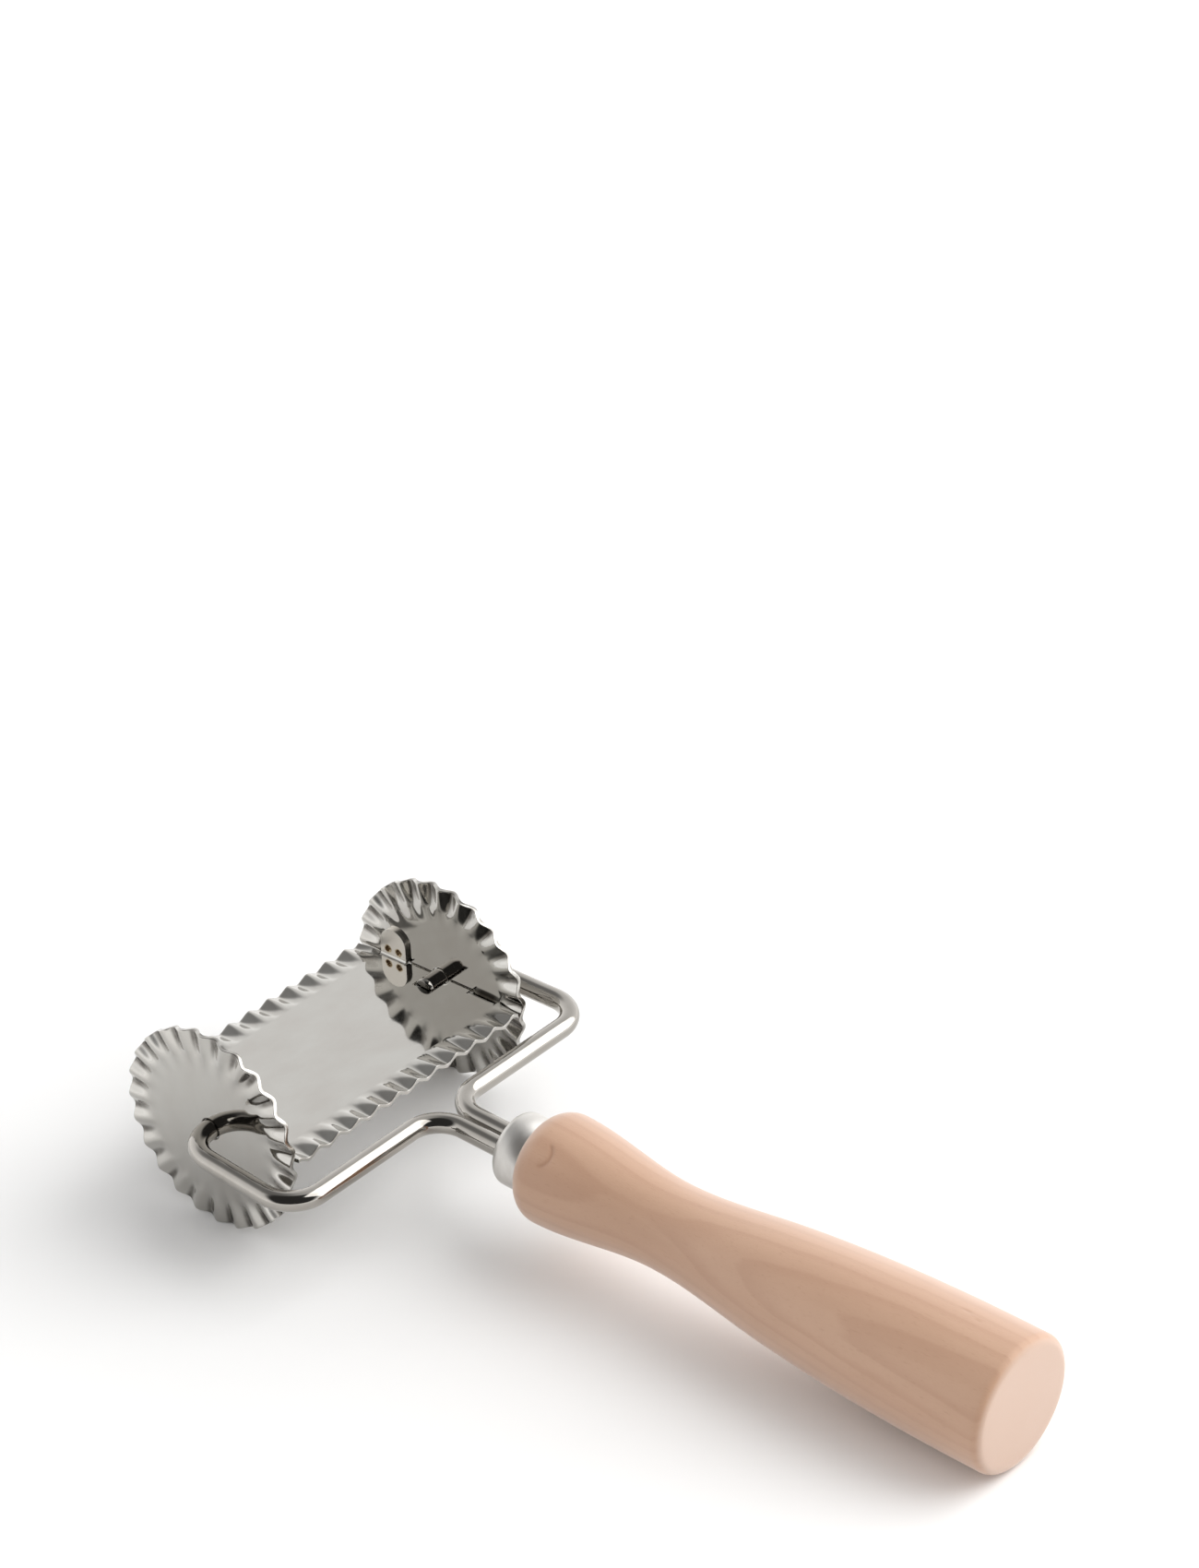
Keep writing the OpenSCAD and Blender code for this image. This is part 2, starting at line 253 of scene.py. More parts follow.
# the sheet of the wheels and the blade: each Size is a grain in mm on each axis
sheetSteel = {
    "colour": (0.500, 0.489, 0.462),
    "dull": (0.470, 0.452, 0.424),
    "dullSize": (14, 9, 14),
    "roughness": (0.035, 0.085),
    "smearSize": (3, 1.2, 3),
    "pressed": 0.085,  # roughness that the press adds to the flutes
    "valleyShade": (0.095, 0.085, 0.075),  # painted shade in the flutes' valleys and at the hole's outer edge
    "grime": (0.55, 0.95),  # and how much of it, from place to place
    "grimeSize": (2.5, 2.5, 2.5),
    "holeHighlight": (0.95, 0.94, 0.91),  # painted highlight on the hole's inner edge
    "tab": (0.86, 0.825, 0.77),  # the tabs are less polished, and painted paler as painted light
    "tabRough": 0.24,  # roughness that they have more
    "bend": (0.13, 0.12, 0.105),  # painted shade on the outer side of the tabs' bends
    "heat": (0.115, 0.066, 0.030),  # brown of the welds
    "heatPart": (0.35, 0.75),  # heat at which the brown starts and is full
    "straw": (0.56, 0.45, 0.29),  # paler ring round them
    "strawPart": (0.05, 0.40),
    "roughPart": (0.1, 0.9),
    "heatRough": 0.3,
    "speck": (0.35, 1.35),  # how uneven the heat is
    "speckPart": (0.32, 0.66),
    "speckSize": (0.62, 0.62, 0.62),
    "ripple": 0.0010,  # height of the sheet's slow ripple
    "rippleSize": (16, 16, 16),
    "hairline": 0.00006,  # and of its fine lines
    "hairSize": (6, 0.06, 0.5),
}


# painted light on the wheels: patchy painted shade in the valleys and at the hole's outer edge,
# and a painted highlight on the hole's inner edge
def shadeValleys(tree, here, colour):
    grime = grain(tree, here, sheetSteel["grimeSize"], detail=2, place=(0.1, 0.5, 0.2))
    grime = remap(tree, grime, *slowPart, *sheetSteel["grime"])
    # patchy painted shade in the valleys and at the hole's outer edge
    valleyShaded = maths(tree, "MULTIPLY", layerValue(tree, "valleyShade"), grime)
    colour = mixColour(tree, valleyShaded, colour, sheetSteel["valleyShade"])
    # painted highlight on the hole's inner edge
    return mixColour(tree, layerValue(tree, "holeHighlight"), colour, sheetSteel["holeHighlight"])


# the blade's colours: satin tabs painted paler as painted light, painted shade on the outer side
# of their bends, and welds that go from straw to brown
def heatTabs(tree, here, colour, rough):
    satin = layerValue(tree, "satin")
    # the tabs' satin faces are painted paler: painted light, with real extra roughness
    colour = mixColour(tree, satin, colour, sheetSteel["tab"])
    rough = maths(tree, "ADD", rough, remap(tree, satin, 0, 1, 0, sheetSteel["tabRough"]))
    # painted shade on the outer side of the tabs' bends
    colour = mixColour(tree, layerValue(tree, "bendShade"), colour, sheetSteel["bend"])
    speck = grain(tree, here, sheetSteel["speckSize"], detail=3)
    speck = remap(tree, speck, *sheetSteel["speckPart"], *sheetSteel["speck"])
    heat = maths(tree, "MULTIPLY", layerValue(tree, "weldTint"), speck)
    straw = remap(tree, heat, *sheetSteel["strawPart"], 0, 1, True)
    brown = remap(tree, heat, *sheetSteel["heatPart"], 0, 1, True)
    colour = mixColour(tree, straw, colour, sheetSteel["straw"])
    colour = mixColour(tree, brown, colour, sheetSteel["heat"])
    scale = remap(tree, heat, *sheetSteel["roughPart"], 0, sheetSteel["heatRough"])
    return colour, maths(tree, "ADD", rough, scale)


# Polished sheet: slow clouds, slightly uneven gloss, duller flutes, a ripple and fine hairlines.
# The blade's is heated at its welds and has painted light and shade on its tabs; the wheels' has
# painted shade in its valleys and a painted highlight at its hole instead.
def polishedSheet(name, heated=False):
    material, tree, shader = newMaterial(name, {"Metallic": 1.0})
    here = objectPlace(tree)
    colour = cloudyColour(tree, here, sheetSteel)
    smear = grain(tree, here, sheetSteel["smearSize"], detail=4, place=(0.3, 0.1, 0.7))
    rough = remap(tree, smear, *glossPart, *sheetSteel["roughness"])
    pressed = remap(tree, layerValue(tree, "pressed"), 0, 1, 0, sheetSteel["pressed"])
    rough = maths(tree, "ADD", rough, pressed)
    if heated:
        colour, rough = heatTabs(tree, here, colour, rough)
    else:
        colour = shadeValleys(tree, here, colour)
    linkLook(tree, shader, colour, rough)
    ripple = grain(tree, here, sheetSteel["rippleSize"], detail=1)
    hair = grain(tree, here, sheetSteel["hairSize"], detail=3)
    under = addBump(tree, shader, ripple, sheetSteel["ripple"])
    addBump(tree, shader, hair, sheetSteel["hairline"], under=under)
    return material


roller = {
    "sheetT": 1.2,
    "innerFace": 39.1,  # from the middle to a wheel's inner face
    "holeR": 2.58,
    "holeRound": 0.32,
    "holeMargin": 0.04,  # a row just past the hole's edge keeps its tint narrow
    "fluteCount": 24,
    "fluteLength": 6.8,
    "wave": 1.4,  # crest to trough at the rim
    "leftPhase": 14.5,  # degrees from +Y up to a crest
    "rightPhase": 10.7,
    "rimRound": 0.14,
    "creaseRound": 0.17,  # how round a flute's fold is
    "rampRound": 0.012,  # how softly a fold rises out of the sheet
    "startFade": 0.12,  # share of a flute over which its fold sets in
    "fingerPower": 0.8,  # lower makes a finger's end blunter
    "rolled": 0.75,  # share of the finger form in a wheel's flutes
    "shadeDepth": (0.30, 0.92),  # depth in a valley where the painted shade starts and is full
    "pressedZone": (-0.5, 1.5),  # mm from the flutes' start where their gloss starts and is full
    "samples": 26,  # lines along one flute
    "rows": 18,  # rings along a flute's length
    "flatFrom": 4.5,  # radius of the first ring of the flat part
    "flatRows": 5,
    "holeRows": 8,
    "rimRows": 4,
    "inside": 0.012,  # keeps the rim within its solid
}
roller["fluteStart"] = pose["wheelR"] - roller["fluteLength"]


# how far along its flute a place is, by its distance from the axle or the blade's middle line
def fluteShare(reach):
    return np.clip((reach - roller["fluteStart"]) / roller["fluteLength"], 0, 1)


# an angle round the axle counted in flutes, from the crest at the phase's angle
def fluteTurns(angle, phase):
    return (angle - math.radians(phase)) * roller["fluteCount"] / (2 * np.pi)


# 1 on the pressed edge and 0 on the plain sheet, by the same distance
def onFlutes(reach):
    return smoothStep(reach, *[roller["fluteStart"] + z for z in roller["pressedZone"]])


# Height of the pressed wave, from -1 to 1: a blend of two forms. The folded one is made of
# triangles that start as points where the flute starts and widen to the edge. The rolled one
# is a cosine across the flute whose height rises fast at first, like a finger's end.
def pressedWave(turns, share, rolled):
    soft = roller["creaseRound"]

    def rounded(x):
        return np.sqrt(x * x + soft * soft) - soft

    def ramp(x):
        return (x + np.sqrt(x * x + roller["rampRound"])) / 2

    fromCrest = 2 * np.abs(turns - np.round(turns))
    raised = ramp(share - rounded(fromCrest)) - ramp(share - rounded(1 - fromCrest))
    full = ramp(1.0) - ramp(1.0 - rounded(1.0))
    folded = raised / full * smoothStep(share, 0, roller["startFade"])
    finger = np.cos(2 * np.pi * turns) * (1 - (1 - share) ** 2) ** roller["fingerPower"]
    return folded * (1 - rolled) + finger * rolled


# What differs over a wheel: 1 on the pressed rim, 1 on the inner edge of the hole, which gets a
# painted highlight, and 1 on its outer edge and deep in the valleys, which are crests on the other
# face: these get painted shade.
def tintWheel(piece, phase):
    place = pointPlaces(piece)
    fromAxle = np.hypot(place[:, 1], place[:, 2])
    turns = fluteTurns(np.arctan2(place[:, 2], place[:, 1]), phase)
    wave = pressedWave(turns, fluteShare(fromAxle), roller["rolled"])
    fromMiddle = np.abs(place[:, 0]) - roller["innerFace"] - roller["sheetT"] / 2
    depth = -wave * np.sign(fromMiddle - roller["wave"] / 2 * wave)
    atHole = fromAxle < roller["holeR"] + roller["holeRound"] + roller["holeMargin"] / 4
    # painted shade deep in the valleys and on the hole's outer edge
    storeLayer(piece, "valleyShade", smoothStep(depth, *roller["shadeDepth"]) + atHole * (fromMiddle > 0))
    storeLayer(piece, "pressed", onFlutes(fromAxle))
    # the hole's inner edge, which gets a painted highlight
    storeLayer(piece, "holeHighlight", atHole * (fromMiddle < 0))


# A wheel is one closed loop, from the hole over the outer face, the rim and the inner face,
# carried round the axle, with the wave added along the axle.
def wheelPiece(name, side, phase, material):
    half = roller["sheetT"] / 2
    start, rimRound, holeRound = roller["fluteStart"], roller["rimRound"], roller["holeRound"]
    rimR = pose["wheelR"] - roller["inside"]
    hole = arc((roller["holeR"] + holeRound, half - holeRound),
               holeRound, 180, 90, roller["holeRows"])
    flat = np.linspace(roller["flatFrom"], start, roller["flatRows"])
    flutes = np.linspace(start, rimR - rimRound, roller["rows"])[1:-1]
    face = np.concatenate([[hole[-1, 0] + roller["holeMargin"]], flat, flutes])
    face = np.stack([face, np.full(len(face), half)], axis=-1)
    rim = arc((rimR - rimRound, half - rimRound), rimRound, 90, 0, roller["rimRows"])
    outer = np.concatenate([hole, face, rim])
    section = np.concatenate([outer, outer[::-1] * [1, -1]])
    radius, offset = section[:, 0], section[:, 1]
    lines = roller["fluteCount"] * roller["samples"]
    angle = 2 * np.pi * np.arange(lines) / lines
    turns, share = fluteTurns(angle, phase)[None, :], fluteShare(radius)[:, None]
    wave = pressedWave(turns, share, roller["rolled"])
    middle = roller["innerFace"] + half
    across = side * (middle + roller["wave"] / 2 * wave + offset[:, None])
    grid = np.stack([across,
                     radius[:, None] * np.cos(angle),
                     radius[:, None] * np.sin(angle)], axis=-1) + axle
    piece = ringSurface(name, grid, wrapRows=True)
    tintWheel(piece, phase)
    piece.data.materials.append(material)
    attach(piece, "roller")
    return piece


blade = {
    "sheetT": 1.0,
    "endGap": 0.45,  # between a plain end and the wheel
    "wave": 1.42,  # crest to trough at the edge
    "crestShift": -0.7,  # from the middle to the nearest crest
    "rolled": 0.30,  # share of the finger form in the blade's flutes
    "notchDepth": 32.3,  # where the notch for the stub starts
    "notchHalf": 3.0,
    "tabRoot": 37.3,  # where the tabs start to bend
    "tabPlace": 14.2,  # from the axle to a tab's middle line
    "tabHalf": 4.0,
    "tabSlit": 0.4,
    "tabBend": 0.8,  # inside radius
    "tabHeight": 8.4,
    "weldHalfPitch": 1.7,
    "weldHeight": 2.6,
    "weldFloor": 0.5,  # radius of a weld's flat floor
    "weldR": 0.8,
    "weldDepth": 0.13,
    "edgeRound": 0.12,
    "heatR": (0.45, 1.4),  # radii where a weld's heat starts to fade and is gone
    "satinPast": 0.7,  # a tab's satin starts this far past its root
    "satinRise": (1.0, 1.6),  # and sets in between these heights
    "bendRoom": (0.2, 0.3, 0.1),  # room round the bend's painted shade: inward, upward and aside
    "bendFade": 0.75,  # share of that tint lost towards a tab's sides
    "bendFadeFrom": (1.8, 4.0),
    "cellsAcross": [1, 2, 1, 40, 1, 1, 15],  # cells between the stops, from the middle line out
    "cellsAlong": [16, 230, 16],
    "bendCells": 8,
    "uprightCells": 18,
    "tipCells": 14,
    "endCells": 2,  # cells of the plain sheet past the tabs' roots
}


# lines at the given stops, each stretch between two of them cut into the given number of cells
def gridLines(stops, cells):
    parts = [np.linspace(a, b, n + 1)[:-1] for a, b, n in zip(stops[:-1], stops[1:], cells)]
    return np.concatenate(parts + [stops[-1:]])


# The blade is one sheet on a grid of lengthwise and crosswise lines. Cells inside the notches
# and slits are left out, and the lines of each tab run on round its bend to its half-round tip.
def bladeSheet():
    half = blade["sheetT"] / 2
    notchDepth, tabRoot, tabPlace, tabHalf, slit, edgeRound = [blade[key] for key in (
        "notchDepth", "tabRoot", "tabPlace", "tabHalf", "tabSlit", "edgeRound")]
    edge = pose["wheelR"] - roller["inside"]
    fluteStart = roller["fluteStart"]
    tabIn = tabPlace - tabHalf
    tabOut = tabPlace + tabHalf
    roundSteps = np.radians([30, 60, 90])
    farLines = np.concatenate([
        gridLines([0, blade["notchHalf"], tabIn - slit, tabIn, tabOut, tabOut + slit,
                   fluteStart, edge - edgeRound], blade["cellsAcross"]),
        edge - edgeRound * (1 - np.sin(roundSteps))])
    acrossLines = np.concatenate([-farLines[:0:-1], farLines])
    # how far round the edge's corner each line is
    farCosine = np.concatenate([np.ones(len(farLines) - len(roundSteps)), np.cos(roundSteps)])
    cornerCosine = np.concatenate([farCosine[:0:-1], farCosine])
    bendR = blade["tabBend"] + half
    bendLength = bendR * math.pi / 2
    roundStart = blade["tabHeight"] - tabHalf
    upright = roundStart - bendR
    bendLines = tabRoot + np.linspace(0, bendLength, blade["bendCells"] + 1)[1:]
    straightLines = bendLines[-1] + np.linspace(0, upright, blade["uprightCells"] + 1)[1:]
    tipTurn = np.radians(np.linspace(0, 90, blade["tipCells"] + 1)[1:])
    tipLines = straightLines[-1] + tabHalf * np.sin(tipTurn)
    mainLines = gridLines([-tabRoot, -notchDepth, notchDepth, tabRoot], blade["cellsAlong"])
    outerLines = np.concatenate([bendLines, straightLines, tipLines])
    lengthLines = np.concatenate([-outerLines[::-1], mainLines, outerLines])

    u, v = np.meshgrid(lengthLines, acrossLines, indexing="ij")
    past = np.arange(len(lengthLines))[:, None] - (len(outerLines) + len(mainLines) - 1)
    pastLeft = len(outerLines) - np.arange(len(lengthLines))[:, None]
    beyond = np.maximum(past, pastLeft)  # lines past a tab's root, 0 or less on the plain sheet
    end = np.sign(u)
    far = np.sign(v)
    share = fluteShare(np.abs(v))

    # plain sheet: flat or waved, its ends drawn in where the wheels' flutes need room
    reach = roller["innerFace"] - blade["endGap"] - roller["wave"] / 2 * share
    squeeze = np.clip((np.abs(u) - notchDepth) / (tabRoot - notchDepth), 0, 1)
    rootReach = tabRoot - roller["wave"] / 2 * share
    plainX = np.where(np.abs(u) > notchDepth,
                      notchDepth + squeeze * (rootReach - notchDepth), np.abs(u))
    pastRoot = rootReach + np.clip(beyond / blade["endCells"], 0, 1) * (reach - rootReach)
    plainX = end * np.where(beyond > 0, pastRoot, plainX)
    pitch = 2 * math.pi * pose["wheelR"] / roller["fluteCount"]
    turns = (plainX - blade["crestShift"]) / pitch
    plainZ = far * blade["wave"] / 2 * pressedWave(turns, share, blade["rolled"])
    plain = np.stack([plainX, v, plainZ], axis=-1)

    # tabs: a quarter bend, then upright, then narrowing as half a circle
    along = np.clip(np.abs(u) - tabRoot, 0, None)
    bent = np.clip(along / bendR, 0, math.pi / 2)
    rise = bendR * (1 - np.cos(bent)) + np.clip(along - bendLength, 0, None)
    narrow = np.clip((rise - roundStart) / tabHalf, 0, 1)
    width = np.sqrt(1 - narrow ** 2)
    centre = far * tabPlace
    up = end * far  # 1 where the tab is bent up, -1 where down
    tab = np.stack([end * (tabRoot + bendR * np.sin(bent)),
                    centre + (v - centre) * width,
                    up * rise], axis=-1)
    tabUp = np.stack([-end * up * np.sin(bent), 0 * v, np.cos(bent)], axis=-1)

    inTab = (np.abs(v) > tabIn - 1e-6) & (np.abs(v) < tabOut + 1e-6) & (beyond > 0)
    middle = np.where(inTab[..., None], tab, plain)
    upward = np.where(inTab[..., None], tabUp, [0, 0, 1])

    # spot welds: round dimples in the face that looks away from the wheel
    aside = np.minimum(np.abs(v - centre - blade["weldHalfPitch"]),
                       np.abs(v - centre + blade["weldHalfPitch"]))
    fromWeld = np.hypot(aside, rise - blade["weldHeight"])
    pressed = 1 - smoothStep(fromWeld, blade["weldFloor"], blade["weldR"])
    dimple = blade["weldDepth"] * pressed * inTab
    halfEdge = half - edgeRound * (1 - cornerCosine)[None, :]
    top = middle + upward * (halfEdge - dimple * (up > 0))[..., None]
    bottom = middle - upward * (halfEdge - dimple * (up < 0))[..., None]

    # which cells hold metal
    cu = (lengthLines[:-1] + lengthLines[1:])[:, None] / 2
    cv = np.abs(acrossLines[:-1] + acrossLines[1:])[None, :] / 2
    cellBeyond = np.maximum(beyond[:-1], beyond[1:])
    slitIn, slitOut = tabIn - slit, tabOut + slit
    inWindow = (cv > slitIn) & (cv < slitOut)
    tabCell = (cv > tabIn) & (cv < tabOut)
    notch = (np.abs(cu) > notchDepth) & (cv < blade["notchHalf"])
    plainCell = ~inWindow & (cellBeyond <= blade["endCells"])
    metal = np.where(cellBeyond > 0, tabCell | plainCell, True) & ~notch
    return top, bottom, metal


# Closes a sheet: its upper and lower faces, and a wall wherever metal meets an empty cell.
def closedSheet(top, bottom, metal):
    rows, columns = top.shape[:2]
    upper = np.arange(rows * columns).reshape(rows, columns)
    lower = upper + rows * columns
    near, far = slice(None, -1), slice(1, None)
    corners = [(near, near), (far, near), (far, far), (near, far)]
    padded = np.pad(metal, 1)
    quads = [np.stack([upper[c] for c in corners], axis=-1)[metal],
             np.stack([lower[c] for c in corners[::-1]], axis=-1)[metal]]
    around = [padded[1:-1, :-2], padded[2:, 1:-1], padded[1:-1, 2:], padded[:-2, 1:-1]]
    for k, neighbour in enumerate(around):
        a, b = corners[k], corners[(k + 1) % 4]
        wall = np.stack([upper[b], upper[a], lower[a], lower[b]], axis=-1)
        quads.append(wall[metal & ~neighbour])
    quads = np.concatenate(quads)
    points = np.concatenate([top.reshape(-1, 3), bottom.reshape(-1, 3)])
    used, quads = np.unique(quads, return_inverse=True)
    return points[used], quads.reshape(-1, 4)


# What differs over the blade: 1 at a spot weld, fading over a millimetre or so, 1 on the satin
# tabs, which are painted paler as painted light, 1 on the outer side of the tabs' bends, which
# gets painted shade, and 1 on the pressed edges.
def tintTabs(piece):
    place = pointPlaces(piece)
    x, y, z = place[:, 0], place[:, 1], place[:, 2]
    aside = np.abs(np.abs(y) - blade["tabPlace"])
    spot = np.hypot(aside - blade["weldHalfPitch"], np.abs(z) - blade["weldHeight"])
    pastRoot = np.abs(x) - blade["tabRoot"]
    onTab = (pastRoot > blade["satinPast"]) * smoothStep(np.abs(z), *blade["satinRise"])
    up = np.sign(x * y)
    bendZ = blade["tabBend"] + blade["sheetT"] / 2
    fromBend = np.hypot(pastRoot, z - up * bendZ)
    inward, upward, beside = blade["bendRoom"]
    inBend = ((pastRoot > inward) & (fromBend > bendZ) & (z * up < bendZ + upward)
              & (aside < blade["tabHalf"] + beside))
    kept = 1 - blade["bendFade"] * smoothStep(aside, *blade["bendFadeFrom"])
    storeLayer(piece, "weldTint", (1 - smoothStep(spot, *blade["heatR"])) * onTab)
    storeLayer(piece, "satin", onTab)
    # the outer side of the tabs' bends, which gets painted shade
    storeLayer(piece, "bendShade", inBend * kept)
    storeLayer(piece, "pressed", onFlutes(np.abs(y)))


# the closed sheet brought to the axle, with its tints and material
def bladePiece(name, material):
    top, bottom, metal = bladeSheet()
    points, quads = closedSheet(top, bottom, metal)
    piece = solidPiece(name, points + axle, quads)
    tintTabs(piece)
    piece.data.materials.append(material)
    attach(piece, "roller")
    return piece


wire = {
    "r": 2.5,
    "chamfer": 0.4,
    "endClear": 1.0,  # length at each end that the chamfer has to itself
    "stubStart": 32.8,  # from the middle to the stub's cut end
    "sidePlay": 0.5,  # between a wheel and the stub's bend
    "bendR": 8.5,
    "splay": 1.9,  # how much further out an arm is at the shoulder
    "tangGap": 0.1,
    "around": 64,
    "step": 1.5,  # between rings on a straight
    "bendCells": 32,
    "colour": (0.395, 0.376, 0.348),
    "dull": (0.350, 0.330, 0.302),
    "roughness": (0.045, 0.13),
    "dullSize": (9, 9, 9),
    "drawnScale": (0.05, 7.0, 1.0),  # drawn lines per mm, along the wire and round it
    "drawnDepth": 0.0015,
    "bumpSize": (5, 5, 5),
    "bumpDepth": 0.004,
    "sheared": (0.075, 0.070, 0.062),  # the stub's cut end, painted near black: painted shade
    "cutFace": 0.05,  # length of the cut end that has this colour
    "inside": 0.009,  # keeps the bends within their solid
}


# One half of the fork as a turtle's path in the fork's plane: straight, bend, straight and so on.
# A straight is a length, a bend an angle in degrees, to the left when positive.
def wirePath():
    bendR, shoulder = wire["bendR"], pose["shoulder"]
    wheelOut = roller["innerFace"] + roller["sheetT"]
    lean = math.degrees(math.atan2(wire["splay"], shoulder))
    firstTurn, secondTurn = 90 - lean, 90 + lean
    firstCut = bendR * math.tan(math.radians(firstTurn / 2))
    secondCut = bendR * math.tan(math.radians(secondTurn / 2))
    armX = wheelOut + wire["sidePlay"] + firstCut
    tangX = wire["r"] + wire["tangGap"] / 2
    steps = [
        ("straight", armX - firstCut - wire["stubStart"]),
        ("bend", -firstTurn),
        ("straight", math.hypot(wire["splay"], shoulder) - firstCut - secondCut),
        ("bend", -secondTurn),
        ("straight", armX + wire["splay"] - secondCut - tangX - bendR),
        ("bend", 90),
        ("straight", pose["tangEnd"] - shoulder - bendR),
    ]
    place, heading, run = np.array([wire["stubStart"], 0.0]), 0.0, 0.0
    parts = [(place[None, :], np.zeros(1), np.zeros(1))]
    for kind, amount in steps:
        if kind == "straight":
            t = np.linspace(0, amount, max(3, int(amount / wire["step"])))[1:]
            nextPlaces = place + t[:, None] * np.array([math.cos(heading), math.sin(heading)])
            nextHeadings = np.full(len(t), heading)
            nextRuns = run + t
        else:
            turn = math.radians(amount)
            t = np.linspace(0, turn, wire["bendCells"] + 1)[1:]
            side = math.copysign(1, amount)
            toCentre = np.array([-math.sin(heading), math.cos(heading)])
            centre = place + side * bendR * toCentre
            nextHeadings = heading + t
            nextPlaces = centre + side * bendR * np.stack(
                [np.sin(nextHeadings), -np.cos(nextHeadings)], axis=-1)
            nextRuns = run + np.abs(t) * bendR
        parts.append((nextPlaces, nextHeadings, nextRuns))
        place, heading, run = [part[-1] for part in parts[-1]]
    return [np.concatenate(part) for part in zip(*parts)]


# A round wire is a circle carried along the path, with chamfered ends that close in a point.
def wirePiece(name, side, material):
    places, headings, runs = wirePath()
    cut, total = wire["chamfer"], runs[-1]
    between = runs[(runs > wire["endClear"]) & (runs < total - wire["endClear"])]
    stations = np.concatenate([[0, 0, cut], between, [total - cut, total, total]])
    reduced = wire["r"] - cut
    full = np.full(len(stations) - 4, wire["r"] - wire["inside"])
    radii = np.concatenate([[0, reduced], full, [reduced, 0]])
    x = np.interp(stations, runs, places[:, 0])
    y = np.interp(stations, runs, places[:, 1])
    heading = np.interp(stations, runs, headings)
    angle = 2 * np.pi * np.arange(wire["around"]) / wire["around"]
    outward = radii[:, None] * np.cos(angle)
    grid = np.stack([side * (x[:, None] - outward * np.sin(heading)[:, None]),
                     y[:, None] + outward * np.cos(heading)[:, None],
                     radii[:, None] * np.sin(angle)], axis=-1)
    piece = ringSurface(name, inFork(grid), uvRows=stations,
                        uvColumns=np.linspace(0, 2 * np.pi * wire["r"], wire["around"] + 1))
    place = np.abs(pointPlaces(piece))
    onStub = place[:, 1] < pose["shoulder"] / 2
    # the stub's cut end, which gets painted shade
    storeLayer(piece, "sheared", (place[:, 0] < wire["stubStart"] + wire["cutFace"]) & onStub)
    piece.data.materials.append(material)
    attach(piece, "fork_and_handle")
    return piece


# bright drawn wire: long fine lines along it, read from its own map in millimetres
def drawnWire(name):
    material, tree, shader = newMaterial(name, {"Metallic": 1.0})
    along = addNode(tree, "UVMap", uv_map="along").outputs["UV"]
    here = objectPlace(tree)
    colour = cloudyColour(tree, here, wire)
    # painted shade on the stub's cut end
    colour = mixColour(tree, layerValue(tree, "sheared"), colour, wire["sheared"])
    lines = addNode(tree, "Mapping", {"Vector": along, "Scale": wire["drawnScale"]})
    drawn = addNode(tree, "TexNoise", {
        "Vector": lines.outputs["Vector"], "Scale": 1.0, "Detail": 3.0}).outputs["Fac"]
    linkLook(tree, shader, colour, remap(tree, drawn, *glossPart, *wire["roughness"]))
    under = addBump(tree, shader, drawn, wire["drawnDepth"])
    bumps = grain(tree, here, wire["bumpSize"], detail=1)
    addBump(tree, shader, bumps, wire["bumpDepth"], under=under)
    return material


ferrule = {
    "r": 9.05,
    "sheetT": 0.8,
    "edge": 2.0,
    "lip": 0.15,  # how much its cut edges are taken off
    "clearance": 0.05,
    "around": 160,
    "colour": (0.690, 0.671, 0.643),
    "dull": (0.615, 0.594, 0.564),
    "dullSize": (6, 3, 6),
    "roughness": (0.38, 0.52),
    "lineSize": (9, 0.07, 9),
    "lineDepth": 0.004,
}


# how far the slot that holds both tangs reaches from the handle's axis, at each angle round it:
# to one of its two flats, or else to one of its two round ends
def slotRadius(angle):
    slotR = wire["r"] + ferrule["clearance"]
    tangX = wire["r"] + wire["tangGap"] / 2
    c, s = np.abs(np.cos(angle)), np.abs(np.sin(angle))
    toFlat = slotR / np.maximum(s, 1e-9)
    toRound = tangX * c + np.sqrt(np.maximum(slotR ** 2 - (tangX * s) ** 2, 0))
    return np.where(toFlat * c <= tangX, toFlat, toRound)


# rows of [station, radius] turned round the handle's axis, where a radius may be the slot's
def turnedGrid(rows, around):
    angle = 2 * np.pi * np.arange(around) / around
    slot = slotRadius(angle)
    radius = np.array([slot if r == "slot" else np.full(around, float(r)) for _, r in rows])
    station = np.array([s for s, _ in rows], float)[:, None]
    along = -station + 0 * radius
    return np.stack([radius * np.cos(angle), along, radius * np.sin(angle)], axis=-1), angle


# the cup's wall as one closed loop, from the slot over the outside and back along the inside
def ferrulePiece(name, material):
    front, back = pose["ferruleFront"], pose["handleFront"]
    r, t, edge, lip = [ferrule[key] for key in ("r", "sheetT", "edge", "lip")]
    outside = arc((r - edge, front + edge), edge, -90, 0, 12)[:, ::-1]
    inside = arc((r - edge, front + edge), edge - t, 0, -90, 9)[:, ::-1]
    rows = [(front + lip, "slot"), (front, "slot"), *outside,
            (back - lip, r), (back, r - lip), (back, r - t + lip), (back - lip, r - t),
            *inside, (front + t, "slot")]
    grid, _ = turnedGrid(rows, ferrule["around"])
    piece = ringSurface(name, inFork(grid), wrapRows=True)
    piece.data.materials.append(material)
    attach(piece, "fork_and_handle")
    return piece


# satin cup: fine lines run round it, crossed by a few slow dull patches
def satinCup(name):
    material, tree, shader = newMaterial(name, {"Metallic": 1.0})
    here = objectPlace(tree)
    turn = (tilt, 0, 0)
    lines = grain(tree, here, ferrule["lineSize"], detail=3, turn=turn)
    rough = remap(tree, lines, *glossPart, *ferrule["roughness"])
    linkLook(tree, shader, cloudyColour(tree, here, ferrule, turn), rough)
    addBump(tree, shader, lines, ferrule["lineDepth"])
    return material


